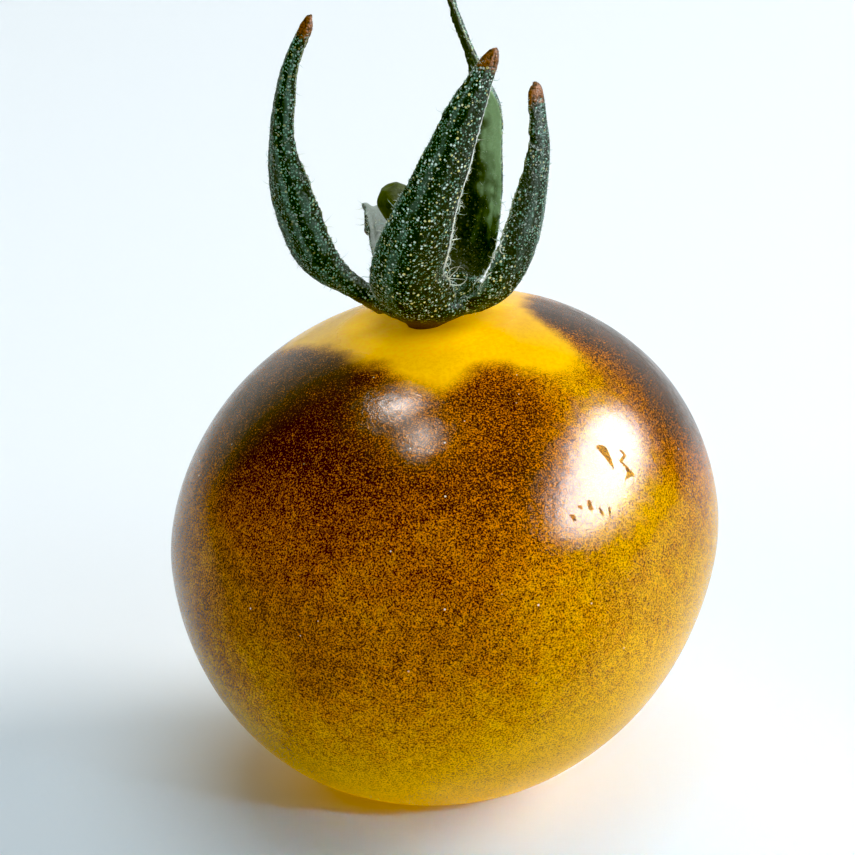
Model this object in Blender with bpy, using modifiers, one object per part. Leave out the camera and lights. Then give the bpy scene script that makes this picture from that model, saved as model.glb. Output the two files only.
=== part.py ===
"""Blue cream berries tomato: a small round berry, its hairy calyx and the stub of its stem.

Sizes are in millimetres. The berry rests on a small flat spot whose centre is the origin, +Z is up,
and -Y faces the viewer. Pieces that touch in nature are kept CLEARANCE apart.
"""
import math

import bmesh
import bpy
from mathutils import Matrix, Vector

MM = 0.001
CLEARANCE = 0.3

# Berry: a turned form that leans a little and is fuller at its right shoulder
BERRY_RADIUS = 12.1
CROWN_HEIGHT = 10.55        # equator up to the stem end
BASE_DEPTH = 11.8           # equator down to where the round form would end
REST_SPOT_RADIUS = 2.5
CROWN_POWERS = (0.89, 1.05)  # below 1 the width fills out, above 1 the height flattens
BASE_POWERS = (0.87, 1.13)
LEAN = 0.56                 # sideways shift of the stem end
BOW = 0.36                  # sideways shift of the middle, besides the lean
RAISED_SHOULDER = 0.086     # rise per millimetre to the right, at the stem end
DIMPLE_DEPTH = 0.45
DIMPLE_WIDTH = 2.6
BERRY_SIDES = 48
BERRY_RINGS = 30
RING_CROWDING = 1.2         # above 1 the rings stand closer round the stem end

# Stem end: where calyx and stem stand on the berry
STEM_X = -0.2
STEM_Z = 21.68

# Calyx: five sepals that leave one shallow bowl
BOWL_PROFILE = (            # radius and height, from the centre of the floor, over the rim, to the foot
    (0.0, 1.0), (1.1, 1.0), (1.9, 1.3), (2.5, 1.75), (2.95, 1.6),
    (2.7, 0.95), (2.1, 0.5), (1.4, CLEARANCE), (0.0, CLEARANCE),
)
BOWL_SIDES = 30
BLADE_THICKNESS = 0.62
BLADE_LENGTHS = 18          # divisions along a sepal
BLADE_WIDTHS = 4            # divisions across it
BLADE_TIP = 0.6             # least width, at the dried tip
BLADE_ROOT = 0.8            # share of its greatest width that a sepal has where it leaves the bowl
BLADE_WIDENS = 0.2          # share of its length over which it reaches its greatest width
BLADE_CHANNEL = 0.25        # how far the margins bend in, per millimetre of width

# Each sepal: azimuth, greatest width, taper, roll at the root that turns one margin in,
# and its midrib as (outward, sideways, up) from the stem end
SEPALS = {
    "front": (270.0, 3.45, 0.85, 0.0, (
        (1.7, 0.0, 0.8), (2.6, -0.4, 1.5), (3.6, -0.5, 2.9), (4.6, -0.25, 5.05), (5.2, 0.3, 7.5),
        (5.45, 1.05, 9.85), (5.3, 1.8, 12.0), (4.6, 2.8, 14.0))),
    "right": (342.0, 3.3, 0.70, 0.0, (
        (1.7, 0.0, 0.8), (2.6, 0.0, 1.15), (3.5, 0.0, 1.95), (4.35, 0.0, 3.5), (4.9, 0.0, 5.7),
        (5.25, 0.0, 8.3), (5.1, 0.0, 10.0), (4.85, 0.0, 11.4))),
    "back_right": (54.0, 2.8, 1.30, 0.0, (
        (1.7, 0.0, 0.8), (2.9, 0.0, 1.2), (3.9, 0.05, 2.3), (4.5, 0.2, 4.3), (4.7, 0.25, 6.6),
        (4.6, 0.25, 8.5), (4.3, 0.5, 10.4), (3.9, 1.15, 12.8), (3.7, 1.7, 14.6))),
    "back_left": (126.0, 2.8, 0.80, 0.0, (
        (1.7, 0.0, 0.8), (2.7, -0.3, 1.9), (3.4, -0.5, 3.1), (4.1, -0.75, 3.7), (5.0, -1.1, 3.6),
        (6.0, -1.5, 2.8), (7.0, -1.9, 1.5))),
    "left": (196.0, 4.1, 0.90, 24.0, (
        (1.7, 0.0, 0.8), (3.1, 0.0, 2.05), (4.6, 0.0, 3.1), (5.7, 0.0, 4.6), (6.35, 0.0, 6.8),
        (6.6, 0.0, 9.0), (6.3, 0.0, 11.2), (5.75, 0.0, 12.8), (5.15, 0.0, 14.4))),
}

# Stem stub: it leans to the left and ends in the knuckle where it broke off
STEM_ROUTE = (              # x, y, z and radius above the berry
    (0.0, 0.0, 1.3, 0.85), (-0.1, 0.1, 2.3, 0.66), (-0.4, 0.2, 3.5, 0.6),
    (-0.8, 0.2, 4.6, 0.64), (-1.15, 0.2, 5.35, 0.78), (-1.4, 0.2, 5.95, 0.74), (-1.5, 0.2, 6.25, 0.4),
)
STEM_STATIONS = 14
STEM_RESOLUTION = 3

ROUTE_STEPS = 20            # steps between two points of a smooth route, before it is divided evenly
MERGE_DISTANCE = 0.002

# Colours (linear) with roughness
SKIN = ((0.24, 0.075, 0.008), 0.22)
LEAF_GREEN = ((0.030, 0.075, 0.030), 0.75)
STEM_OLIVE = ((0.19, 0.20, 0.035), 0.65)


def clear_scene():
    for item in list(bpy.data.objects):
        bpy.data.objects.remove(item, do_unlink=True)


def new_collection(name):
    collection = bpy.data.collections.new(name)
    bpy.context.scene.collection.children.link(collection)
    return collection


def new_object(name, data, collection, parent=None):
    item = bpy.data.objects.new(name, data)
    collection.objects.link(item)
    item.parent = parent
    return item


def new_material(name, colour_and_roughness):
    colour, roughness = colour_and_roughness
    material = bpy.data.materials.new(name)
    material.use_nodes = True
    shader = material.node_tree.nodes["Principled BSDF"]
    shader.inputs["Base Color"].default_value = (*colour, 1.0)
    shader.inputs["Roughness"].default_value = roughness
    shader.inputs["Metallic"].default_value = 0.0
    return material


def evaluated_mesh(item, name):
    """The mesh of an object as its modifiers leave it, with doubles merged and faces pointing out."""
    bpy.context.view_layer.update()
    seen = item.evaluated_get(bpy.context.evaluated_depsgraph_get())
    mesh = bpy.data.meshes.new_from_object(seen)
    mesh.name = name
    shape = bmesh.new()
    shape.from_mesh(mesh)
    bmesh.ops.remove_doubles(shape, verts=shape.verts, dist=MERGE_DISTANCE * MM)
    bmesh.ops.recalc_face_normals(shape, faces=shape.faces)
    shape.to_mesh(mesh)
    shape.free()
    return mesh


def turned_mesh(name, profile, sides):
    """A profile of (radius, height) points, top to bottom on its outer side, turned about Z."""
    mesh = bpy.data.meshes.new(name + "_profile")
    points = [(radius * MM, 0.0, height * MM) for radius, height in profile]
    mesh.from_pydata(points, [(i, i + 1) for i in range(len(points) - 1)], [])
    carrier = new_object(name + "_profile", mesh, bpy.context.scene.collection)
    screw = carrier.modifiers.new("Turn", "SCREW")
    screw.steps = sides
    screw.render_steps = sides
    screw.use_merge_vertices = True
    screw.merge_threshold = MERGE_DISTANCE * MM
    turned = evaluated_mesh(carrier, name)
    bpy.data.objects.remove(carrier, do_unlink=True)
    return turned


def berry_profile():
    """Radius and height above the rest spot, from the stem end down to the spot's centre."""
    spot_sine = (REST_SPOT_RADIUS / BERRY_RADIUS) ** (1.0 / BASE_POWERS[0])
    spot_depth = BASE_DEPTH * math.cos(math.asin(spot_sine)) ** BASE_POWERS[1]
    last_angle = math.pi - math.asin(spot_sine)
    profile = []
    for ring in range(BERRY_RINGS + 1):
        angle = last_angle * (ring / BERRY_RINGS) ** RING_CROWDING
        reach = math.sin(angle)
        rise = math.cos(angle)
        if rise > 0.0:
            radius = BERRY_RADIUS * reach ** CROWN_POWERS[0]
            height = CROWN_HEIGHT * rise ** CROWN_POWERS[1]
        else:
            radius = BERRY_RADIUS * reach ** BASE_POWERS[0]
            height = -BASE_DEPTH * (-rise) ** BASE_POWERS[1]
        profile.append((radius, height + spot_depth))
    profile.append((0.0, 0.0))
    return profile


def settle(point, full_height):
    """Lean a point of the turned form, raise its right shoulder and sink the dimple at the stem."""
    x, y, z = point / MM
    share = z / full_height
    leaning = x + LEAN * share + BOW * math.sin(math.pi * share)
    z += RAISED_SHOULDER * x * share
    from_stem = (leaning - STEM_X) ** 2 + y ** 2
    z -= DIMPLE_DEPTH * share * math.exp(-from_stem / DIMPLE_WIDTH ** 2)
    return Vector((leaning, y, z)) * MM


def make_berry(collection):
    profile = berry_profile()
    full_height = profile[0][1]
    mesh = turned_mesh("fruit", profile, BERRY_SIDES)
    for vertex in mesh.vertices:
        vertex.co = settle(vertex.co, full_height)
    mesh.materials.append(new_material("tomato_skin", SKIN))
    mesh.shade_smooth()
    return new_object("fruit", mesh, collection)


def smooth_route(points, samples):
    """Points at equal steps of length along a smooth curve through the given points."""
    knots = [Vector(point) for point in points]
    knots = [2 * knots[0] - knots[1]] + knots + [2 * knots[-1] - knots[-2]]
    dense = []
    for before, start, end, after in zip(knots, knots[1:], knots[2:], knots[3:]):
        for step in range(ROUTE_STEPS):
            t = step / ROUTE_STEPS
            dense.append(0.5 * (2 * start + (end - before) * t
                                + (2 * before - 5 * start + 4 * end - after) * t ** 2
                                + (3 * start - before - 3 * end + after) * t ** 3))
    dense.append(knots[-2])
    lengths = [0.0]
    for first, second in zip(dense, dense[1:]):
        lengths.append(lengths[-1] + (second - first).length)
    even = []
    index = 0
    for sample in range(samples + 1):
        target = lengths[-1] * sample / samples
        while index < len(dense) - 2 and lengths[index + 1] < target:
            index += 1
        part = (target - lengths[index]) / (lengths[index + 1] - lengths[index])
        even.append(dense[index].lerp(dense[index + 1], min(part, 1.0)))
    return even


def blade_width(share, width, taper):
    """Width of a sepal at a share of its length: it leaves the bowl narrower and ends blunt."""
    root = BLADE_ROOT + (1.0 - BLADE_ROOT) * min(share / BLADE_WIDENS, 1.0)
    return max(width * root * math.cos(math.pi / 2.0 * share) ** taper, BLADE_TIP)


def make_sepal(name, azimuth, width, taper, roll, route, collection):
    """A lance-shaped blade along its midline, its margins bent towards the stem."""
    turn = Matrix.Rotation(math.radians(azimuth), 3, "Z")
    midline = [turn @ point for point in smooth_route(route, BLADE_LENGTHS)]
    level = turn @ Vector((0.0, -1.0, 0.0))
    shape = bmesh.new()
    bmesh.ops.create_grid(shape, x_segments=BLADE_LENGTHS, y_segments=BLADE_WIDTHS, size=1.0)
    for vertex in shape.verts:
        share = (vertex.co.x + 1.0) / 2.0
        across = vertex.co.y
        station = round(share * BLADE_LENGTHS)
        before = midline[max(station - 1, 0)]
        after = midline[min(station + 1, BLADE_LENGTHS)]
        along = (after - before).normalized()
        side = (level - along * level.dot(along)).normalized()
        rolled = Matrix.Rotation(math.radians(-roll) * (1.0 - share), 3, along)
        inward = rolled @ side.cross(along)
        span = blade_width(share, width, taper)
        offset = rolled @ side * (span / 2.0 * across) + inward * (BLADE_CHANNEL * span * across ** 2)
        vertex.co = (midline[station] + offset) * MM
    bmesh.ops.triangulate(shape, faces=shape.faces)
    mesh = bpy.data.meshes.new(name)
    shape.to_mesh(mesh)
    shape.free()
    blade = new_object(name, mesh, collection)
    thicken = blade.modifiers.new("Thickness", "SOLIDIFY")
    thicken.thickness = BLADE_THICKNESS * MM
    thicken.offset = 0.0
    return blade


def make_calyx(collection, stem_end):
    bowl_mesh = turned_mesh("calyx", BOWL_PROFILE, BOWL_SIDES)
    calyx = new_object("calyx", bowl_mesh, collection)
    sepals = new_collection("sepals")
    for name, sizes_and_route in SEPALS.items():
        make_sepal("sepal_" + name, *sizes_and_route, sepals)
    join = calyx.modifiers.new("Join", "BOOLEAN")
    join.operation = "UNION"
    join.operand_type = "COLLECTION"
    join.collection = sepals
    calyx.data = evaluated_mesh(calyx, "calyx")
    calyx.modifiers.clear()
    for blade in list(sepals.objects):
        bpy.data.objects.remove(blade, do_unlink=True)
    bpy.data.collections.remove(sepals)
    calyx.data.materials.clear()
    calyx.data.materials.append(new_material("sepal_green", LEAF_GREEN))
    calyx.data.shade_smooth()
    calyx.parent = stem_end
    return calyx


def make_stem(collection, stem_end):
    curve = bpy.data.curves.new("pedicel", "CURVE")
    curve.dimensions = "3D"
    curve.bevel_depth = MM
    curve.bevel_resolution = STEM_RESOLUTION
    curve.use_fill_caps = True
    spline = curve.splines.new("POLY")
    spine = smooth_route(STEM_ROUTE, STEM_STATIONS)
    spline.points.add(STEM_STATIONS)
    for knot, (x, y, z, radius) in zip(spline.points, spine):
        knot.co = (x * MM, y * MM, z * MM, 1.0)
        knot.radius = radius
    curve.materials.append(new_material("stem_olive", STEM_OLIVE))
    return new_object("pedicel", curve, collection, stem_end)


def build():
    clear_scene()
    collection = new_collection("blue_cream_berries_tomato")
    stem_end = new_object("stem_end", None, collection)
    stem_end.location = (STEM_X * MM, 0.0, STEM_Z * MM)
    make_berry(collection)
    make_calyx(collection, stem_end)
    make_stem(collection, stem_end)


build()
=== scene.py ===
import math

import bmesh
import bpy
import numpy as np
from mathutils import Matrix, Vector, noise
from mathutils.kdtree import KDTree


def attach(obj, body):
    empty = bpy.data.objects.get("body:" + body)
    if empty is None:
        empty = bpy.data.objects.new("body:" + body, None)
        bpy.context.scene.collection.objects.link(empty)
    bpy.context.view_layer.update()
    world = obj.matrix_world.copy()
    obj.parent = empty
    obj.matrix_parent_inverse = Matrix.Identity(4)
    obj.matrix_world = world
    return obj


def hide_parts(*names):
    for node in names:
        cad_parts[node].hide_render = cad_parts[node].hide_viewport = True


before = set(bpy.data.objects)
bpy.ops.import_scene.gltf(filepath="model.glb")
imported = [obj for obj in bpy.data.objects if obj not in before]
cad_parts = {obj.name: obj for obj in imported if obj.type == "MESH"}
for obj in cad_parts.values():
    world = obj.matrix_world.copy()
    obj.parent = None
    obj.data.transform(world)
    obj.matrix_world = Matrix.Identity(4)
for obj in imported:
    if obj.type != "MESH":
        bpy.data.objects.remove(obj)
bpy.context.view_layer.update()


# The berry: a ripe cherry tomato about an inch across, its thin glossy skin stretched over wet
# flesh. It grew as one body, leans a little to the left, is fuller at its right shoulder, and
# stands on a small flat spot at the end where the flower was.
MM = 0.001                   # sizes below are in millimetres, and finished meshes are in metres
WELD = 0.0005
BERRY_RADIUS = 12.1
CROWN_HEIGHT = 10.55
BASE_DEPTH = 11.8
REST_SPOT_RADIUS = 2.5
CROWN_POWERS = (0.89, 1.05)
BASE_POWERS = (0.87, 1.13)
LEAN = 0.56
BOW = 0.36
RAISED_SHOULDER = 0.086
DIMPLE_DEPTH = 0.45
DIMPLE_WIDTH = 2.6
STEM_X = -0.2
STEM_Z = 21.68
SKIN_SIDES = 320
SKIN_RINGS = 200
BERRY_HEART = Vector((0.5, 0.0, 11.0))
SWELL_DEPTH = 0.035          # the broad, barely seen waves in the skin
SWELL_LENGTH = 4.5
SWELL_STARTS = 2.0           # height by which they reach that depth
STEM_END = Vector((STEM_X, 0.0, STEM_Z))


def finished_piece(name, mesh, material, slot, *nodes):
    """An object at the origin that rides on the berry's body and stands for the given solids."""
    mesh.materials.clear()
    mesh.materials.append(material)
    mesh.shade_smooth()
    piece = bpy.data.objects.new(name, mesh)
    bpy.context.scene.collection.objects.link(piece)
    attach(piece, "root")
    if nodes:
        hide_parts(*nodes)
    return piece


def berry_profile(rings):
    """Radius and height above the rest spot, from the stem end down to the middle of the spot."""
    spot_sine = (REST_SPOT_RADIUS / BERRY_RADIUS) ** (1.0 / BASE_POWERS[0])
    spot_depth = BASE_DEPTH * math.cos(math.asin(spot_sine)) ** BASE_POWERS[1]
    last_angle = math.pi - math.asin(spot_sine)
    for ring in range(rings + 1):
        angle = last_angle * ring / rings
        reach = math.sin(angle)
        rise = math.cos(angle)
        if rise > 0.0:
            radius = BERRY_RADIUS * reach ** CROWN_POWERS[0]
            height = CROWN_HEIGHT * rise ** CROWN_POWERS[1]
        else:
            radius = BERRY_RADIUS * reach ** BASE_POWERS[0]
            height = -BASE_DEPTH * (-rise) ** BASE_POWERS[1]
        yield radius, height + spot_depth
    yield 0.0, 0.0


def settled(point, full_height):
    """Lean a point of the turned form, raise its right shoulder and sink the dimple at the stem."""
    x, y, z = point
    share = z / full_height
    leaning = x + LEAN * share + BOW * math.sin(math.pi * share)
    z += RAISED_SHOULDER * x * share
    from_stem = (leaning - STEM_X) ** 2 + y ** 2
    z -= DIMPLE_DEPTH * share * math.exp(-from_stem / DIMPLE_WIDTH ** 2)
    return Vector((leaning, y, z))


def make_skin_mesh():
    shape = bmesh.new()
    profile = list(berry_profile(SKIN_RINGS))
    rim = [shape.verts.new((radius, 0.0, height)) for radius, height in profile]
    chain = [shape.edges.new(pair) for pair in zip(rim, rim[1:])]
    bmesh.ops.spin(shape, geom=rim + chain, cent=(0, 0, 0), axis=(0, 0, 1), dvec=(0, 0, 0),
                   angle=math.tau, steps=SKIN_SIDES, use_merge=True, use_duplicate=False)
    bmesh.ops.remove_doubles(shape, verts=shape.verts, dist=WELD)
    bmesh.ops.recalc_face_normals(shape, faces=shape.faces)
    full_height = profile[0][1]
    for vertex in shape.verts:
        place = settled(vertex.co, full_height)
        swell = noise.noise(place / SWELL_LENGTH) * SWELL_DEPTH * min(place.z / SWELL_STARTS, 1.0)
        outward = (place - BERRY_HEART).normalized()
        vertex.co = (place + outward * swell) * MM
    mesh = bpy.data.meshes.new("tomato_skin")
    shape.to_mesh(mesh)
    shape.free()
    return mesh


class Shade:
    """An output socket of a material, open to arithmetic: each sign adds its Math node."""

    def __init__(self, socket):
        self.socket = socket
        self.tree = socket.id_data

    def node(self, kind, settings=None, inputs=None, output=0):
        made = self.tree.nodes.new(kind)
        for name, value in (settings or {}).items():
            setattr(made, name, value)
        for name, value in (inputs or {}).items():
            if isinstance(value, Shade):
                self.tree.links.new(value.socket, made.inputs[name])
            else:
                made.inputs[name].default_value = value
        return Shade(made.outputs[output])

    def math(self, operation, *values):
        return self.node("ShaderNodeMath", {"operation": operation}, dict(enumerate(values)))

    def __add__(self, other):
        return self.math("ADD", self, other)

    __radd__ = __add__

    def __mul__(self, other):
        return self.math("MULTIPLY", self, other)

    __rmul__ = __mul__

    def __sub__(self, other):
        return self.math("SUBTRACT", self, other)

    def __rsub__(self, other):
        return self.math("SUBTRACT", other, self)

    def __pow__(self, power):
        return self.math("POWER", self, power)

    def vector(self, operation, first, second=(0.0, 0.0, 0.0), output=0):
        return self.node("ShaderNodeVectorMath", {"operation": operation},
                         {0: first, 1: second}, output)

    def part(self, axis):
        return self.node("ShaderNodeSeparateXYZ", {}, {0: self}, axis)

    def over(self, low, high, start=0.0, end=1.0):
        """Goes smoothly from start to end while this value goes from low to high."""
        return self.node("ShaderNodeMapRange", {"interpolation_type": "SMOOTHSTEP"},
                         {"Value": self, "From Min": low, "From Max": high,
                          "To Min": start, "To Max": end})

    def grain(self, scale, detail=2.0, roughness=0.5):
        """Noise on this vector, about 0.5 on average."""
        return self.node("ShaderNodeTexNoise", {},
                         {"Vector": self, "Scale": scale, "Detail": detail, "Roughness": roughness})

    def tint(self, first, second):
        """The first colour where this value is 0, the second where it is 1."""
        return self.node("ShaderNodeMix", {"data_type": "RGBA"}, {0: self, 6: first, 7: second}, 2)

    def beside(self, output):
        """Another output of the same node."""
        return Shade(self.socket.node.outputs[output])

    def bump(self, distance, strength=1.0):
        return self.node("ShaderNodeBump", {},
                         {"Height": self, "Distance": distance, "Strength": strength})


def start_material(name, **constants):
    """A material with its shader, and the object coordinates in millimetres."""
    material = bpy.data.materials.new(name)
    material.use_nodes = True
    shader = material.node_tree.nodes["Principled BSDF"]
    for socket, value in constants.items():
        shader.inputs[socket.replace("_", " ")].default_value = value
    place = Shade(material.node_tree.nodes.new("ShaderNodeTexCoord").outputs["Object"])
    millimetres = place.vector("MULTIPLY", place, (1.0 / MM, 1.0 / MM, 1.0 / MM))
    return material, shader, millimetres


def wire(shader, **values):
    for socket, value in values.items():
        value.tree.links.new(value.socket, shader.inputs[socket.replace("_", " ")])


# Golden arms left where the young sepals shaded the skin: azimuth in degrees and length
STAR_ARMS = ((277.0, 1.7), (328.0, 3.2), (50.0, 2.2), (120.0, 2.4), (156.0, 2.6))
STAR_HEART = 4.3
STAR_WAVER = 1.6
STAR_SHARPNESS = 14.0
STAR_REACHES = (18.5, 16.5)  # heights between which it ends, where an arm hasn't ended before
PIGMENT_SETS_IN = (2.0, 12.0)
CROWN_PIGMENT = (15.0, 19.0)
SHOULDER = (13.5, 18.5)
CROWN = (18.0, 19.0)
# Dark lobes between and below the arms: azimuth, strength (below 0 for a pale streak), sharpness
PIGMENT_LOBES = ((216.0, 0.42, 5.0), (8.0, 0.85, 9.0), (298.0, 0.22, 20.0), (88.0, 0.4, 9.0),
                 (138.0, 0.35, 12.0), (330.0, -0.20, 14.0))
# Clouds of more or less pigment: middle, reach and strength
PIGMENT_CLOUDS = (((10.5, -3.0, 17.5), 6.5, 0.28), ((-1.8, -10.4, 16.5), 3.0, -0.10),
                  ((-7.0, -8.0, 16.5), 4.0, -0.14), ((-3.0, -11.0, 7.5), 6.0, 0.08))
SUNNY_SIDE = (-0.90, -0.44, 0.0)        # the side that saw more sun, and made more pigment
GOLD = (0.98, 0.53, 0.003, 1.0)
GOLD_DEEP = (0.90, 0.44, 0.001, 1.0)
AMBER = (0.82, 0.245, 0.003, 1.0)
STRAW = (0.90, 0.49, 0.002, 1.0)
PURPLE = (0.030, 0.006, 0.004, 1.0)
RUSSET = (0.150, 0.030, 0.002, 1.0)
# Dust specks, painted white as glints
DUST_AND_GLINT = (0.85, 0.78, 0.66, 1.0)
PAINTED_FLESH_GLOW = (0.21, 0.115, 0.0, 1.0)    # painted glow: daylight that has passed through the flesh
PAINTED_GLOW_HEIGHTS = (5.0, 0.8)                # heights between which the painted glow comes out at the base
NO_GLOW = (0.0, 0.0, 0.0, 1.0)
# Dry scuffs in the gloss of the right shoulder, strokes as seen from the right: start and end as
# (back, up), and the half width at each
SCUFFS = (
    ((-6.96, 18.58), (-7.32, 17.82), (0.15, 0.03)),
    ((-6.48, 18.28), (-6.52, 18.08), (0.05, 0.05)), ((-6.52, 18.08), (-6.86, 17.95), (0.05, 0.05)),
    ((-6.86, 17.95), (-6.88, 17.66), (0.05, 0.06)), ((-6.88, 17.66), (-6.94, 17.40), (0.05, 0.13)),
    ((-6.98, 17.40), (-7.30, 17.28), (0.10, 0.02)), ((-8.86, 16.94), (-9.01, 16.62), (0.04, 0.06)),
    ((-8.79, 16.56), (-8.85, 16.33), (0.03, 0.05)), ((-8.53, 16.48), (-8.73, 16.12), (0.04, 0.02)),
    ((-9.18, 16.82), (-9.20, 16.72), (0.05, 0.03)), ((-9.52, 16.55), (-9.58, 16.36), (0.05, 0.04)),
)


def stroke(place, start, end, widths):
    """1 inside a stroke that runs from start to end and goes from one half width to the other."""
    run = Vector((0.0, *end)) - Vector((0.0, *start))
    from_start = place.vector("SUBTRACT", place, (0.0, *start))
    share = place.vector("DOT_PRODUCT", from_start, run / run.length_squared, output=1)
    share = place.math("MINIMUM", place.math("MAXIMUM", share, 0.0), 1.0)
    nearest = place.node("ShaderNodeVectorMath", {"operation": "SCALE"}, {0: run, "Scale": share})
    away = place.vector("DISTANCE", from_start, nearest, output=1)
    return (share * (widths[1] - widths[0]) + widths[0] - away).over(-0.012, 0.012)


def facing(heading, azimuth):
    """1 where a level heading points to an azimuth in degrees, down to 0 at right angles to it."""
    aim = (math.cos(math.radians(azimuth)), math.sin(math.radians(azimuth)), 0.0)
    return heading.math("MAXIMUM", heading.vector("DOT_PRODUCT", heading, aim, output=1), 0.0)


def make_skin_material():
    material, shader, place = start_material(
        "tomato_skin", IOR=1.45, Specular_IOR_Level=0.27, Specular_Tint=(1.0, 0.92, 0.84, 1.0),
        Subsurface_Weight=0.12, Subsurface_Radius=(1.0, 0.45, 0.02), Subsurface_Scale=0.0012,
        Emission_Strength=1.0)
    height = place.part("Z")
    from_stem = place.vector("SUBTRACT", place, STEM_END)
    level = place.vector("MULTIPLY", from_stem, (1.0, 1.0, 0.0))
    reach = place.vector("LENGTH", level, output=1)
    heading = place.vector("NORMALIZE", level)
    edge = (place.grain(0.7, 3.0) - 0.5) * STAR_WAVER + STAR_HEART
    for azimuth, length in STAR_ARMS:
        edge = edge + facing(heading, azimuth) ** STAR_SHARPNESS * length
    outside = place.math("MAXIMUM", (reach - edge).over(-0.7, 0.9), height.over(*STAR_REACHES))

    # Pigment: grains in the outermost cells, dense on the shoulders and thinning to the blossom end
    sunny = place.vector("DOT_PRODUCT", place, SUNNY_SIDE, output=1)
    clouds = place.grain(0.24, 3.0, 0.6)
    mottle = place.grain(1.7, 2.0, 0.6)
    stipple = place.grain(14.0, 1.5, 0.6)
    density = (height.over(*PIGMENT_SETS_IN, 0.0, 0.55) + height.over(*CROWN_PIGMENT, 0.0, 0.15)
               + sunny.over(-8.0, 8.0, -0.40, 0.0) + (clouds - 0.5) * 0.5 + (mottle - 0.5) * 0.5)
    for middle, size, strength in PIGMENT_CLOUDS:
        away = place.vector("DISTANCE", place, middle, output=1)
        density = density + away.over(size, 1.0, 0.0, strength)
    for azimuth, strength, sharpness in PIGMENT_LOBES:
        lobe = facing(heading, azimuth) ** sharpness * strength
        density = density + lobe * height.over(*SHOULDER)
    depth = stipple - (0.62 - density * 0.26)
    flesh = (density + (0.5 - stipple) * 0.8).over(0.05, 0.80).tint(STRAW, AMBER)
    veil = (stipple * 0.4 + place.grain(5.0, 2.0, 0.6) * 0.6).over(0.38, 0.60)
    flesh = outside.tint(veil.tint(GOLD_DEEP, GOLD), flesh)
    dark = density.over(0.45, 0.95).tint(RUSSET, PURPLE)
    colour = (depth.over(-0.24, 0.13) * outside).tint(flesh, dark)
    colour = (depth.over(0.02, 0.14) * outside * 0.95).tint(colour, PURPLE)

    # Specks of dust painted white as glints, scuffs where the gloss is gone, and a painted glow of
    # the flesh
    # Dust specks painted white as glints, on the upper skin
    specks = place.node("ShaderNodeTexVoronoi", {}, {"Vector": place, "Scale": 1.3})
    chosen = specks.beside("Color").part("X").over(0.80, 0.82) * height.over(9.0, 12.0)
    speck = specks.over(0.075, 0.045) * chosen * outside
    colour = (speck * 0.9).tint(colour, DUST_AND_GLINT)
    from_right = place.vector("MULTIPLY", place, (0.0, 1.0, 1.0))
    strokes = [stroke(from_right, *scuff) for scuff in SCUFFS]
    scuffed = strokes[0]
    for other in strokes[1:]:
        scuffed = place.math("MAXIMUM", scuffed, other)
    scuffed = scuffed * place.part("X").over(1.0, 2.0)
    on_crown = height.over(*CROWN)
    # Painted glow: daylight through the flesh, at the base and round the stem end, lifting the
    # calyx's shade
    painted_glow = place.math("MAXIMUM", height.over(*PAINTED_GLOW_HEIGHTS), reach.over(4.6, 2.6) * on_crown)
    painted_glow = painted_glow.tint(NO_GLOW, PAINTED_FLESH_GLOW)
    dulled = scuffed * 0.7 + reach.over(4.2, 3.0, 0.0, 0.3) * on_crown
    wire(shader, Base_Color=colour, Roughness=mottle.over(0.3, 0.7, 0.17, 0.25) + dulled,
         Normal=(stipple + place.grain(2.2, 1.0) * 2.0).bump(0.0000050), Emission_Color=painted_glow)
    return material


skin = finished_piece("tomato_skin", make_skin_mesh(), make_skin_material(), "skin", "fruit")


# The calyx: five sepals, soft and hairy leaves that joined at their feet into one shallow bowl
# while the flower was open, and that now stand up round the stem. Their tips have dried brown and
# curled. The bowl's short neck grows into the berry.
BOWL_PROFILE = (
    (0.0, 0.95), (1.1, 1.0), (1.9, 1.3), (2.35, 1.68), (2.6, 1.6),
    (2.5, 1.15), (1.95, 0.72), (1.35, 0.38), (0.85, 0.05), (0.7, -0.35), (0.0, -0.5),
)
BOWL_SIDES = 64
BLADE_STATIONS = 110
BLADE_ROUND = 44
BLADE_THICKNESS = 0.44
MARGIN_THINNING = 0.35
BLADE_CHANNEL = 0.25         # how far the margins stand proud of the midrib, in widths
BLADE_SQUARENESS = 0.55      # 1 is an oval section, less is squarer
BLADE_ENDS = 0.955           # share of its length from which the tip rounds off
MARGIN_WAVER = 0.06
BLADE_RIPPLE = 0.12
ROUTE_STEPS = 20
VOXEL = 0.1
SMOOTHINGS = 3
LEAF_LAYERS = ("along", "across", "inner")
GRAIN_LENGTH = 0.30
GRAIN_DEPTH = 0.030
RIB_DEPTH = 0.022
RIBS_ACROSS = 9.0

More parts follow.
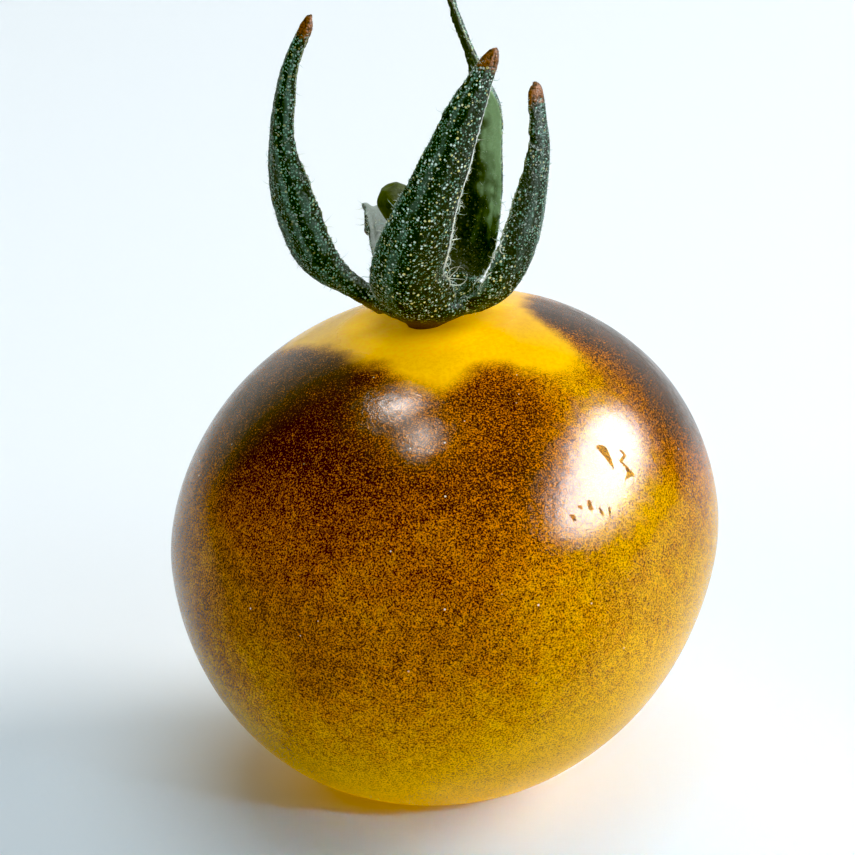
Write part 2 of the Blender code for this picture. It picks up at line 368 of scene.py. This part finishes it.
# Each sepal: azimuth, then rows along its midrib: outward, sideways and up from the stem end,
# width, and roll in degrees
SEPALS = {
    "front": (270.0, (
        (1.7, 0.0, 0.8, 3.0, 0), (2.6, -0.4, 1.5, 3.55, 0), (3.6, -0.75, 2.9, 3.45, 0),
        (4.6, -0.42, 5.05, 3.15, 0), (5.2, 0.33, 7.5, 2.55, 0), (5.45, 1.13, 9.85, 2.05, 0),
        (5.3, 1.93, 12.0, 1.50, 0), (4.6, 3.0, 14.15, 0.65, 0))),
    "right": (342.0, (
        (1.7, 0.0, 0.8, 2.4, 0), (2.65, 0.0, 1.12, 2.8, 5), (3.7, 0.0, 1.9, 3.0, 10),
        (4.56, 0.0, 3.5, 3.3, 13), (5.08, 0.0, 5.7, 2.95, 10), (5.36, 0.0, 8.3, 2.1, 4),
        (5.22, 0.0, 10.0, 1.45, 0), (5.0, 0.0, 11.6, 1.0, 0))),
    "back_right": (54.0, (
        (1.7, 0.0, 0.8, 2.4, 0), (2.9, 0.0, 1.2, 2.6, 0), (3.9, 0.0, 2.3, 2.8, 0),
        (4.5, 0.05, 4.3, 2.7, 0), (4.75, 0.05, 6.6, 2.4, 0), (4.7, 0.0, 8.8, 2.0, 0),
        (4.3, 0.35, 10.5, 0.7, 0), (3.85, 1.1, 12.8, 0.36, 0), (3.7, 1.65, 14.6, 0.34, 0))),
    "back_left": (126.0, (
        (1.7, 0.0, 0.8, 2.2, 0), (2.75, -0.1, 1.8, 2.2, 0), (3.4, -0.2, 2.8, 2.1, 0),
        (3.85, -0.4, 3.5, 1.9, 0), (4.5, -0.8, 3.7, 1.6, 0), (5.5, -1.4, 3.1, 1.2, 0),
        (6.9, -2.0, 1.6, 0.6, 0))),
    "left": (196.0, (
        (1.7, 0.0, 0.8, 1.5, -60), (3.2, 0.0, 1.8, 1.25, -60), (4.85, 0.0, 3.1, 2.1, -56),
        (5.8, 0.0, 5.0, 2.4, -48), (6.35, 0.0, 7.0, 2.2, -40), (6.55, 0.0, 9.1, 1.6, -30),
        (6.35, 0.0, 11.2, 1.2, -20), (5.9, 0.0, 12.8, 0.95, -10), (5.05, 0.0, 14.6, 0.6, 0))),
}


def smooth_route(points, samples):
    """Rows at equal steps of length along a smooth curve through given rows of x, y, z and more."""
    knots = np.array(points)
    knots = np.vstack((2 * knots[0] - knots[1], knots, 2 * knots[-1] - knots[-2]))
    dense = []
    for before, start, end, after in zip(knots, knots[1:], knots[2:], knots[3:]):
        for t in np.arange(ROUTE_STEPS) / ROUTE_STEPS:
            dense.append(0.5 * (2 * start + (end - before) * t
                                + (2 * before - 5 * start + 4 * end - after) * t ** 2
                                + (3 * start - before - 3 * end + after) * t ** 3))
    dense = np.array(dense + [knots[-2]])
    steps = np.linalg.norm(np.diff(dense[:, :3], axis=0), axis=1)
    lengths = np.concatenate(([0.0], steps.cumsum()))
    even = np.linspace(0.0, lengths[-1], samples + 1)
    return np.column_stack([np.interp(even, lengths, column) for column in dense.T])


def add_sepal(shape, layers, number, azimuth, route):
    """A lance-shaped blade along its midrib: a flat tube whose margins bend towards the stem."""
    turn = Matrix.Rotation(math.radians(azimuth), 3, "Z")
    rows = smooth_route(route, BLADE_STATIONS)
    midrib = [turn @ Vector(row[:3]) for row in rows]
    level = turn @ Vector((0.0, -1.0, 0.0))
    tube = bmesh.ops.create_grid(shape, x_segments=BLADE_STATIONS, y_segments=BLADE_ROUND,
                                 size=1.0)["verts"]
    for vertex in tube:
        share = (vertex.co.x + 1.0) / 2.0
        across = math.cos(math.pi * vertex.co.y)
        face = math.sin(math.pi * vertex.co.y)
        station = round(share * BLADE_STATIONS)
        before = midrib[max(station - 1, 0)]
        after = midrib[min(station + 1, BLADE_STATIONS)]
        along = (after - before).normalized()
        side = (level - along * level.dot(along)).normalized()
        width, roll = rows[station][3:]
        rolled = Matrix.Rotation(math.radians(-roll), 3, along)
        inward = rolled @ side.cross(along)
        rounding = max((share - BLADE_ENDS) / (1.0 - BLADE_ENDS), 0.0)
        closing = math.sqrt(max(1.0 - rounding ** 2, 0.0025))
        waver = noise.noise(Vector((share * 7.0, number * 5.0, across)))
        ripple = noise.noise(Vector((share * 11.0, number * 9.0, 2.0 * across)))
        half = width / 2.0 * closing * (1.0 + MARGIN_WAVER * waver * min(share * 4.0, 1.0))
        thick = BLADE_THICKNESS / 2.0 * (1.0 - MARGIN_THINNING * across ** 2) * max(closing, 0.3)
        lift = (BLADE_CHANNEL * width + BLADE_RIPPLE * ripple * min(share * 3.0, 1.0)) * across ** 2
        lift += math.copysign(abs(face) ** BLADE_SQUARENESS, face) * thick
        vertex.co = STEM_END + midrib[station] + rolled @ side * (half * across) + inward * lift
        vertex[layers[0]] = share
        vertex[layers[1]] = across
        vertex[layers[2]] = 0.5 + 0.5 * face


def make_calyx_mesh():
    """The bowl and its sepals fused into one skin that knows how far along each sepal it is."""
    shape = bmesh.new()
    layers = [shape.verts.layers.float.new(name) for name in LEAF_LAYERS]
    rim = [shape.verts.new((radius, 0.0, height)) for radius, height in BOWL_PROFILE]
    chain = [shape.edges.new(pair) for pair in zip(rim, rim[1:])]
    bmesh.ops.spin(shape, geom=rim + chain, cent=(0, 0, 0), axis=(0, 0, 1), dvec=(0, 0, 0),
                   angle=math.tau, steps=BOWL_SIDES, use_merge=True, use_duplicate=False)
    bmesh.ops.translate(shape, verts=shape.verts, vec=STEM_END)
    for number, sizes in enumerate(SEPALS.values()):
        add_sepal(shape, layers, number, *sizes)
    bmesh.ops.remove_doubles(shape, verts=shape.verts, dist=WELD)
    bmesh.ops.holes_fill(shape, edges=[edge for edge in shape.edges if edge.is_boundary])
    bmesh.ops.recalc_face_normals(shape, faces=shape.faces)
    tree = KDTree(len(shape.verts))
    known = []
    for index, vertex in enumerate(shape.verts):
        tree.insert(vertex.co, index)
        known.append([vertex[layer] for layer in layers])
    tree.balance()

    rough = bpy.data.meshes.new("calyx_rough")
    shape.to_mesh(rough)
    shape.free()
    carrier = bpy.data.objects.new("calyx_rough", rough)
    bpy.context.scene.collection.objects.link(carrier)
    fuse = carrier.modifiers.new("Fuse", "REMESH")
    fuse.mode = "VOXEL"
    fuse.voxel_size = VOXEL
    bpy.context.view_layer.update()
    seen = carrier.evaluated_get(bpy.context.evaluated_depsgraph_get())
    fused = bpy.data.meshes.new_from_object(seen)
    bpy.data.objects.remove(carrier, do_unlink=True)

    shape = bmesh.new()
    shape.from_mesh(fused)
    for _ in range(SMOOTHINGS):
        bmesh.ops.smooth_vert(shape, verts=shape.verts, factor=0.5,
                              use_axis_x=True, use_axis_y=True, use_axis_z=True)
    shape.normal_update()
    layers = [shape.verts.layers.float.new(name) for name in LEAF_LAYERS]
    for vertex in shape.verts:
        near = tree.find_n(vertex.co, 3)
        weights = [1.0 / (distance + 0.02) for _, _, distance in near]
        for number, layer in enumerate(layers):
            total = sum(weight * known[index][number]
                        for weight, (_, index, _) in zip(weights, near))
            vertex[layer] = total / sum(weights)
    for vertex in shape.verts:
        grain = noise.noise(vertex.co / GRAIN_LENGTH) * GRAIN_DEPTH
        ribs = RIB_DEPTH * math.cos(vertex[layers[1]] * RIBS_ACROSS)
        vertex.co += vertex.normal * (grain + ribs * min(vertex[layers[0]] * 5.0, 1.0))
    bmesh.ops.scale(shape, vec=(MM, MM, MM), verts=shape.verts)
    mesh = bpy.data.meshes.new("calyx_skin")
    shape.to_mesh(mesh)
    shape.free()
    return mesh


LEAF = (0.0035, 0.0105, 0.0075, 1.0)
LEAF_VEIN = (0.070, 0.125, 0.105, 1.0)
# Pale hair grains and bright gland droplets, painted partly as glints
LEAF_HAIR_AND_GLINT = (0.200, 0.430, 0.310, 1.0)
LEAF_GLAND_GLINT = (0.74, 0.90, 0.82, 1.0)
LEAF_GLAND_GLINT_WARM = (0.86, 0.80, 0.30, 1.0)
# Painted light, glow and shade on the inner faces, and the back left one painted pale
LEAF_PAINTED_LIT = (0.36, 0.50, 0.29, 1.0)
LEAF_PAINTED_GLOW = (0.060, 0.115, 0.050, 1.0)      # painted glow: daylight through the blade
LEAF_PAINTED_SHADE = (0.024, 0.031, 0.020, 1.0)
LEAF_PAINTED_PALE = (0.28, 0.31, 0.27, 1.0)
LEAF_FOOT = (0.150, 0.100, 0.010, 1.0)
LEAF_MARGIN = (0.26, 0.28, 0.09, 1.0)
# Painted rim light on the front sepal's right edge
LEAF_PAINTED_RIM_LIGHT = (0.80, 0.84, 0.80, 1.0)
LEAF_DRIED = (0.200, 0.066, 0.014, 1.0)
LEAF_DRIED_DARK = (0.035, 0.014, 0.006, 1.0)
VEINS_ACROSS = 11.0
VEIN_WAVER = 5.0
FOOT_HEIGHTS = (STEM_Z + 1.45, STEM_Z + 0.75)
DRIED_FROM = (0.965, 0.995)  # share of a sepal's length where its tip has dried


def make_sepal_material():
    material, shader, place = start_material(
        "sepal_green", Roughness=0.5, Specular_IOR_Level=0.14, Emission_Strength=1.0)
    along, across, inner = (place.node("ShaderNodeAttribute", {"attribute_name": name}, {}, "Fac")
                            for name in LEAF_LAYERS)
    x, y, height = (place.part(axis) for axis in "XYZ")
    cells = place.grain(8.0, 1.5, 0.6)
    clouds = place.grain(1.1, 2.0, 0.5)

    # Paler stretches of painted light, where the veins show: which part of a sepal it is follows
    # from where it stands
    low = height.over(30.5, 27.5, 0.0, 0.8)
    painted_light_left = x.over(-3.0, -3.6) * place.math("MAXIMUM", x.over(-4.8, -6.2), low)
    painted_light_right = x.over(3.4, 4.4) * across.over(0.75, 0.2)
    painted_light_front = across.over(0.05, 0.75) * x.over(3.4, 3.0) * x.over(-3.0, -2.6)
    painted_light_on_sepals = painted_light_left + painted_light_right + painted_light_front
    stripes = across * VEINS_ACROSS + clouds * VEIN_WAVER
    veins = stripes.math("SINE", stripes).over(-0.4, 1.0) * clouds.over(0.30, 0.55)
    colour = (veins * (painted_light_on_sepals * 0.75 + 0.06)).tint(LEAF, LEAF_VEIN)

    # Painted light and shade on the inner faces: pale and glowing where daylight comes through the
    # back right one,
    # painted shade on the rest of it and down in the bowl, and the back left one painted pale
    behind = y.over(0.5, 1.5)
    streaks = clouds.over(0.2, 0.8, -0.5, 0.5) + veins * 0.5
    through = ((x + streaks * 0.5).over(1.9, 3.0) * behind
               * (height + streaks * 2.0).over(24.5, 27.5))
    lit = through.tint(LEAF_PAINTED_SHADE, LEAF_PAINTED_LIT)
    lit = x.over(0.3, -0.5).tint(lit, LEAF_PAINTED_PALE)
    lit = (height.over(26.2, 24.8) * x.over(-0.5, 0.3)).tint(lit, LEAF_PAINTED_SHADE)
    inside = inner.over(0.45, 0.70) * behind
    colour = inside.tint(colour, lit)
    # A painted glow where daylight comes through the back right sepal
    painted_glow = (inside * through).tint(NO_GLOW, LEAF_PAINTED_GLOW)

    # Hairs too small to model, pale grains that are partly painted glints, and glands: clear
    # droplets
    # on the outer faces, the light they catch painted as bright glints, most of all on the front
    # sepal
    outer = 1.0 - inside * 0.9
    in_front = x.over(-3.2, -2.4) * x.over(4.0, 3.2)
    grains = place.node("ShaderNodeTexVoronoi", {}, {"Vector": place, "Scale": 9.0})
    # More grains where painted light falls and on the front sepal
    chance = grains.beside("Color").part("X") + painted_light_on_sepals * 0.30 + in_front * 0.10
    grain = grains.over(0.50, 0.22) * chance.over(0.50, 0.95) * outer
    colour = (grain * 0.9).tint(colour, LEAF_HAIR_AND_GLINT)
    glands = place.node("ShaderNodeTexVoronoi", {}, {"Vector": place, "Scale": 6.5})
    pick = glands.beside("Color")
    size = pick.part("Z") * 0.30 + 0.12
    gland_and_glint = (glands - size).over(0.06, -0.06) * pick.part("X").over(0.35, 0.60) * outer
    gland_and_glint = gland_and_glint * (in_front * 0.70 + 0.30)
    colour = gland_and_glint.tint(colour, pick.part("Y").over(0.55, 0.75).tint(LEAF_GLAND_GLINT, LEAF_GLAND_GLINT_WARM))

    # Margins, a painted rim of light on the front sepal's right edge, the feet and the dried tips
    margin = across.math("ABSOLUTE", across).over(0.955, 0.99) * along.over(0.12, 0.25)
    colour = (margin * 0.6).tint(colour, LEAF_MARGIN)
    # The front sepal's right edge: a painted rim of light
    on_front = x.over(3.9, 3.4) * x.over(-3.0, -2.0) * y.over(-1.5, -2.5)
    colour = (across.over(-0.89, -0.94) * along.over(0.15, 0.30) * on_front).tint(colour, LEAF_PAINTED_RIM_LIGHT)
    foot = (height + clouds * 0.6 + x * 0.12).over(*FOOT_HEIGHTS)
    colour = (foot * 0.9).tint(colour, LEAF_FOOT)
    dried = (along + clouds * 0.05 + cells * 0.04).over(*DRIED_FROM)
    colour = dried.tint(colour, cells.over(0.35, 0.60).tint(LEAF_DRIED_DARK, LEAF_DRIED))
    wire(shader, Base_Color=colour, Emission_Color=painted_glow,
         Normal=(cells + gland_and_glint * 0.7 + veins * 0.15).bump(0.00007))
    return material


calyx = finished_piece("sepals", make_calyx_mesh(), make_sepal_material(), "sepal", "calyx")


# The stem: a short stub of the stalk, broken off at its knuckle, the joint where a ripe tomato
# lets go of the plant. It stands in the calyx, smooth and olive.
STEM_ROUTE = (
    (0.0, 0.0, 0.9, 0.95), (-0.05, 0.05, 1.6, 0.78), (-0.15, 0.1, 2.4, 0.66),
    (-0.4, 0.2, 3.5, 0.6), (-0.8, 0.2, 4.6, 0.64), (-1.15, 0.2, 5.3, 0.78),
    (-1.38, 0.2, 5.85, 0.74), (-1.52, 0.2, 6.22, 0.42),
)
STEM_SIDES = 40
STEM_STATIONS = 60
STEM_LUMPS = 0.10
STEM_RIDGES = 0.02
BREAK_RINGS = (0.0, -0.03, 0.05)        # the broken end: a rim, a groove and a raised heart
BREAK_RING_WIDTH = 0.08


def make_stem_mesh():
    shape = bmesh.new()
    rows = smooth_route(STEM_ROUTE, STEM_STATIONS)
    centres = [Vector(row[:3]) for row in rows]
    bmesh.ops.create_grid(shape, x_segments=STEM_STATIONS, y_segments=STEM_SIDES, size=1.0)
    for vertex in shape.verts:
        station = round((vertex.co.x + 1.0) / 2.0 * STEM_STATIONS)
        around = math.pi * vertex.co.y
        centre = centres[station]
        before = centres[max(station - 1, 0)]
        after = centres[min(station + 1, STEM_STATIONS)]
        along = (after - before).normalized()
        side = along.cross(Vector((0.0, 1.0, 0.0))).normalized()
        out = side * math.cos(around) + along.cross(side) * math.sin(around)
        lump = noise.noise((centre + out) * 1.6) * STEM_LUMPS
        lump += math.cos(5.0 * around) * STEM_RIDGES
        vertex.co = STEM_END + centre + out * rows[station][3] * (1.0 + lump)
    bmesh.ops.remove_doubles(shape, verts=shape.verts, dist=WELD)
    ends = [edge for edge in shape.edges if edge.is_boundary]
    caps = bmesh.ops.holes_fill(shape, edges=ends)["faces"]
    for depth in BREAK_RINGS:
        bmesh.ops.inset_region(shape, faces=caps, thickness=BREAK_RING_WIDTH, depth=depth)
    bmesh.ops.recalc_face_normals(shape, faces=shape.faces)
    bmesh.ops.scale(shape, vec=(MM, MM, MM), verts=shape.verts)
    mesh = bpy.data.meshes.new("stem")
    shape.to_mesh(mesh)
    shape.free()
    return mesh


OLIVE = (0.055, 0.075, 0.010, 1.0)
OLIVE_DARK = (0.020, 0.032, 0.006, 1.0)


def make_stem_material():
    material, shader, place = start_material(
        "stem_olive", Roughness=0.6, Specular_IOR_Level=0.2, Subsurface_Weight=0.2,
        Subsurface_Radius=(0.6, 0.5, 0.15), Subsurface_Scale=0.0006)
    clouds = place.grain(1.3, 3.0, 0.6)
    cells = place.grain(8.0, 2.0, 0.6)
    wire(shader, Base_Color=clouds.over(0.38, 0.62).tint(OLIVE_DARK, OLIVE),
         Normal=cells.bump(0.00004))
    return material


stem = finished_piece("stem", make_stem_mesh(), make_stem_material(), "stem", "pedicel")


# The hairs: clear bristles all over the sepals, softer hairs on their margins, and a few long curly
# ones between their feet. Each is a slim three-sided cone rooted in the leaf.
def unit(vectors):
    return vectors / (np.linalg.norm(vectors, axis=1, keepdims=True) + 1e-9)


def strand_mesh(name, roots, ways, bends, turns, lengths, radii, cuts, tones):
    """A mesh of many tapered strands: each leaves its root along its way and turns to its bend."""
    shape = bmesh.new()
    bmesh.ops.create_cone(shape, cap_ends=True, segments=3, radius1=1.0, radius2=0.0, depth=1.0)
    bmesh.ops.translate(shape, verts=shape.verts, vec=(0.0, 0.0, 0.5))
    if cuts:
        rising = [edge for edge in shape.edges
                  if abs(edge.verts[0].co.z - edge.verts[1].co.z) > 0.5]
        bmesh.ops.subdivide_edges(shape, edges=rising, cuts=cuts, use_grid_fill=True)
    one = bpy.data.meshes.new(name + "_one")
    shape.to_mesh(one)
    shape.free()
    carrier = bpy.data.objects.new(name + "_one", one)
    bpy.context.scene.collection.objects.link(carrier)
    repeat = carrier.modifiers.new("Repeat", "ARRAY")
    repeat.count = len(roots)
    repeat.use_relative_offset = False
    bpy.context.view_layer.update()
    seen = carrier.evaluated_get(bpy.context.evaluated_depsgraph_get())
    mesh = bpy.data.meshes.new_from_object(seen)
    bpy.data.objects.remove(carrier, do_unlink=True)
    mesh.name = name

    stock = np.zeros(len(mesh.vertices) * 3)
    mesh.vertices.foreach_get("co", stock)
    stock = stock.reshape(len(roots), -1, 3)
    ways = unit(ways)
    bends = unit(bends - ways * (bends * ways).sum(axis=1, keepdims=True))
    sideways = np.cross(ways, bends)[:, None]
    ways, bends = ways[:, None], bends[:, None]
    turns = turns[:, None, None]
    angle = turns * stock[:, :, 2:3]
    reach = lengths[:, None, None] / turns
    spine = roots[:, None] + (ways * np.sin(angle) + bends * (1.0 - np.cos(angle))) * reach
    inside = bends * np.cos(angle) - ways * np.sin(angle)
    section = sideways * stock[:, :, 0:1] + inside * stock[:, :, 1:2]
    points = spine + section * radii[:, None, None]
    mesh.vertices.foreach_set("co", (points * MM).ravel())
    tone = mesh.attributes.new("tone", "FLOAT", "POINT")
    tone.data.foreach_set("value", np.repeat(tones, stock.shape[1]))
    mesh.update()
    return mesh


def sampled(mesh, count, dice):
    """Random places spread evenly over a mesh: points in millimetres, normals and leaf layers."""
    mesh.calc_loop_triangles()
    triangles = np.zeros(len(mesh.loop_triangles) * 3, dtype=int)
    mesh.loop_triangles.foreach_get("vertices", triangles)
    triangles = triangles.reshape(-1, 3)
    corners = np.zeros(len(mesh.vertices) * 3)
    mesh.vertices.foreach_get("co", corners)
    corners = corners.reshape(-1, 3)[triangles] / MM
    cross = np.cross(corners[:, 1] - corners[:, 0], corners[:, 2] - corners[:, 0])
    area = np.linalg.norm(cross, axis=1)
    chosen = dice.choice(len(triangles), size=count, p=area / area.sum())
    weights = dice.dirichlet((1.0, 1.0, 1.0), size=count)
    points = (corners[chosen] * weights[:, :, None]).sum(axis=1)
    normals = cross[chosen] / area[chosen][:, None]
    shares = []
    for name in LEAF_LAYERS:
        values = np.zeros(len(mesh.vertices))
        mesh.attributes[name].data.foreach_get("value", values)
        shares.append((values[triangles[chosen]] * weights).sum(axis=1))
    return points, normals, shares


BRISTLES = 11000
MARGIN_HAIRS = 2400
CURLS = 30
CURL_PLACES = 90000          # random places looked through to find the curls' roots
GAP_X = 2.3                  # the gap between the front and the right sepal, which the curls span
ROOT_DEPTH = 0.02
UP = np.array((0.0, 0.0, 1.0))


def make_bristles():
    dice = np.random.default_rng(7)
    points, normals, (along, _, inner) = sampled(calyx.data, BRISTLES, dice)
    keep = (along > 0.01) & (along < 0.95) & ((inner < 0.6) | (dice.random(BRISTLES) < 0.3))
    points, normals = points[keep], normals[keep]
    count = len(points)
    ways = normals + 0.35 * UP + 0.5 * dice.normal(size=(count, 3))
    bends = UP + 0.6 * dice.normal(size=(count, 3))
    lengths = 0.045 + dice.gamma(1.3, 0.035, count)
    radii = dice.uniform(0.010, 0.022, count)
    return strand_mesh("bristles", points - normals * ROOT_DEPTH, ways, bends,
                       dice.uniform(0.1, 0.6, count), lengths, radii, 0, dice.random(count))


def make_margin_hairs():
    dice = np.random.default_rng(11)
    points, normals, (along, across, _) = sampled(calyx.data, 60 * MARGIN_HAIRS, dice)
    keep = np.flatnonzero((np.abs(across) > 0.965) & (along > 0.03) & (along < 0.96))[:MARGIN_HAIRS]
    points, normals = points[keep], normals[keep]
    count = len(points)
    long = dice.random(count) < 0.06
    ways = normals + 0.4 * dice.normal(size=(count, 3))
    bends = UP + 1.2 * dice.normal(size=(count, 3))
    lengths = np.where(long, dice.uniform(0.25, 0.60, count), dice.uniform(0.06, 0.14, count))
    radii = dice.uniform(0.012, 0.020, count)
    return strand_mesh("fringe", points - normals * ROOT_DEPTH, ways, bends,
                       dice.uniform(0.3, 2.4, count), lengths, radii, 3, dice.random(count))


def make_curls():
    dice = np.random.default_rng(5)
    points, normals, (along, across, _) = sampled(calyx.data, CURL_PLACES, dice)
    on_front = (points[:, 0] < GAP_X) & (points[:, 1] < -2.6) & (across < -0.90)
    on_right = (points[:, 0] > GAP_X) & (points[:, 1] < 0.5) & (across > 0.90)
    keep = []
    for margin, first, last, share in ((on_front, 0.12, 0.30, 0.35), (on_front, 0.30, 0.55, 0.25),
                                       (on_right, 0.12, 0.45, 0.40)):
        found = np.flatnonzero(margin & (along > first) & (along < last))
        keep.extend(found[:round(CURLS * share)])
    points, normals = points[keep], normals[keep]
    count = len(points)
    across_gap = np.where(points[:, :1] < GAP_X, 1.0, -1.0) * (1.0, 0.0, 0.0)
    ways = across_gap + 0.5 * dice.normal(size=(count, 3)) + (0.0, -0.2, 0.1)
    bends = UP * 0.4 + dice.normal(size=(count, 3))
    lengths = dice.uniform(0.5, 1.3, count) * np.where(along[keep] < 0.3, 1.4, 0.6)
    return strand_mesh("curls", points - normals * ROOT_DEPTH, ways, bends,
                       dice.uniform(1.0, 3.6, count), lengths, dice.uniform(0.024, 0.036, count), 9,
                       0.5 + 0.5 * dice.random(count))


BRISTLE_COOL = (0.38, 0.56, 0.50, 1.0)
BRISTLE_WARM = (0.80, 0.82, 0.62, 1.0)


def make_hair_material():
    material, shader, place = start_material(
        "clear_hair", Roughness=0.25, IOR=1.5, Subsurface_Weight=0.3,
        Subsurface_Radius=(1.0, 1.0, 1.0), Subsurface_Scale=0.0001)
    tone = place.node("ShaderNodeAttribute", {"attribute_name": "tone"}, {}, "Fac")
    wire(shader, Base_Color=tone.over(0.3, 0.9).tint(BRISTLE_COOL, BRISTLE_WARM))
    return material


hair_material = make_hair_material()
bristles = finished_piece("bristles", make_bristles(), hair_material, "sepal")
fringe = finished_piece("fringe", make_margin_hairs(), hair_material, "sepal")
curls = finished_piece("curls", make_curls(), hair_material, "sepal")


# The floor and the light: a plain pale table, a big soft window to the right and a white room
# behind. None of it belongs to the tomato.
FLOOR_REACH = 3.0            # metres from the tomato to its sides
TABLE_WHITE = (0.86, 0.875, 0.885, 1.0)
ROOM_BEHIND = (0.76, 0.89, 1.0, 1.0)
ROOM_AHEAD = (0.90, 0.96, 1.0, 1.0)


def add_floor():
    shape = bmesh.new()
    bmesh.ops.create_grid(shape, x_segments=1, y_segments=1, size=FLOOR_REACH)
    mesh = bpy.data.meshes.new("floor")
    shape.to_mesh(mesh)
    shape.free()
    floor = bpy.data.objects.new("floor", mesh)
    bpy.context.scene.collection.objects.link(floor)
    material, _, _ = start_material("pale_table", Roughness=0.5, Specular_IOR_Level=0.3,
                                    Base_Color=TABLE_WHITE)
    mesh.materials.append(material)
    return floor


def add_light(name, direction, distance, size, power, colour=(1.0, 1.0, 1.0),
              lengthways=(0.0, 1.0, 0.0), diffuse=True, glossy=True, only=(), direct=False,
              aim=(0.0, 0.0, 12.0), spread=180.0):
    """A soft oval light, its long side lengthways, in a direction from the point it is aimed at.

    Distance and size are in metres, the aim is in millimetres. Where objects are given it lights
    only these, and the light of a direct one isn't passed on by them.
    """
    light = bpy.data.lights.new(name, "AREA")
    light.shape = "ELLIPSE"
    light.size, light.size_y = size
    light.energy = power
    light.color = colour
    lamp = bpy.data.objects.new(name, light)
    bpy.context.scene.collection.objects.link(lamp)
    back = Vector(direction).normalized()
    side = Vector(lengthways)
    side = (side - back * side.dot(back)).normalized()
    turn = Matrix((side, back.cross(side), back)).transposed()
    lamp.matrix_world = Matrix.Translation(Vector(aim) * MM + back * distance) @ turn.to_4x4()
    light.spread = math.radians(spread)
    lamp.visible_diffuse = diffuse
    lamp.visible_glossy = glossy
    if direct or not diffuse:
        light.cycles.max_bounces = 0
    if only:
        lit = bpy.data.collections.new(name + "_lit")
        for piece in only:
            lit.objects.link(piece)
        lamp.light_linking.receiver_collection = lit


def add_world():
    world = bpy.data.worlds.new("white_room")
    bpy.context.scene.world = world
    world.use_nodes = True
    background = world.node_tree.nodes["Background"]
    direction = Shade(world.node_tree.nodes.new("ShaderNodeTexCoord").outputs["Generated"])
    away = direction.part("Y")
    colour = away.over(-1.0, 1.0).tint(ROOM_BEHIND, ROOM_AHEAD)
    strength = away.over(0.4, 0.95, 0.05, 0.95)
    world.node_tree.links.new(colour.socket, background.inputs["Color"])
    world.node_tree.links.new(strength.socket, background.inputs["Strength"])


CAMERA_ELEVATION = 22.0
CAMERA_DISTANCE = 256.0
CAMERA_TARGET = Vector((-0.098, 0.0, 16.728))
PIXELS_PER_MM = 22.75
PHOTO_WIDTH = 855
SENSOR = 36.0


def add_camera():
    data = bpy.data.cameras.new("camera")
    data.sensor_width = SENSOR
    data.lens = PIXELS_PER_MM * CAMERA_DISTANCE * SENSOR / PHOTO_WIDTH
    data.clip_start = 0.01
    camera = bpy.data.objects.new("camera", data)
    bpy.context.scene.collection.objects.link(camera)
    tilt = math.radians(CAMERA_ELEVATION)
    back = Vector((0.0, -math.cos(tilt), math.sin(tilt)))
    camera.location = (CAMERA_TARGET + back * CAMERA_DISTANCE) * MM
    camera.rotation_euler = (-back).to_track_quat("-Z", "Y").to_euler()
    bpy.context.scene.camera = camera


floor = add_floor()
add_world()
tomato = [skin, calyx, stem, bristles, fringe, curls]

# The room's light, which the glossy skin doesn't mirror
add_light("sky", (0.0, 0.05, 1.0), 0.40, (0.36, 0.36), 0.98, (0.78, 0.92, 1.0), glossy=False)
add_light("window", (0.85, 0.15, 0.50), 0.50, (0.30, 0.30), 1.45, (1.0, 0.98, 0.95), glossy=False)
add_light("front", (0.20, -0.72, 0.62), 0.50, (0.40, 0.40), 1.35, (0.94, 0.97, 1.0),
          glossy=False, only=tomato, direct=True)
add_light("table_fill", (0.50, -0.70, 0.50), 0.50, (0.40, 0.40), 0.50, (0.55, 0.80, 1.0),
          glossy=False, only=[floor])
add_light("cool_fill", (0.60, -0.65, 0.47), 0.15, (0.024, 0.024), 0.0010, (0.30, 0.66, 1.0),
          glossy=False, only=[floor], aim=(9.0, -6.0, 0.0), spread=8.0)

# What it mirrors: the window on its right shoulder, and two small glints by the stem
add_light("window_gleam", (0.80, -0.13, 0.50), 0.17, (0.20, 0.085), 2.4, (0.88, 0.92, 1.0),
          lengthways=(-0.15, 1.0, 0.03), diffuse=False)
add_light("near_gleam", (-0.23, -0.17, 0.96), 0.30, (0.070, 0.040), 0.33, diffuse=False)
add_light("far_gleam", (-0.32, 0.20, 0.92), 0.30, (0.060, 0.045), 0.42, diffuse=False)
add_camera()
view = bpy.context.scene.view_settings
view.view_transform = "Standard"
view.use_curve_mapping = True
view.curve_mapping.black_level = (0.010, 0.010, 0.028)      # for deep, warm shadows
view.curve_mapping.update()
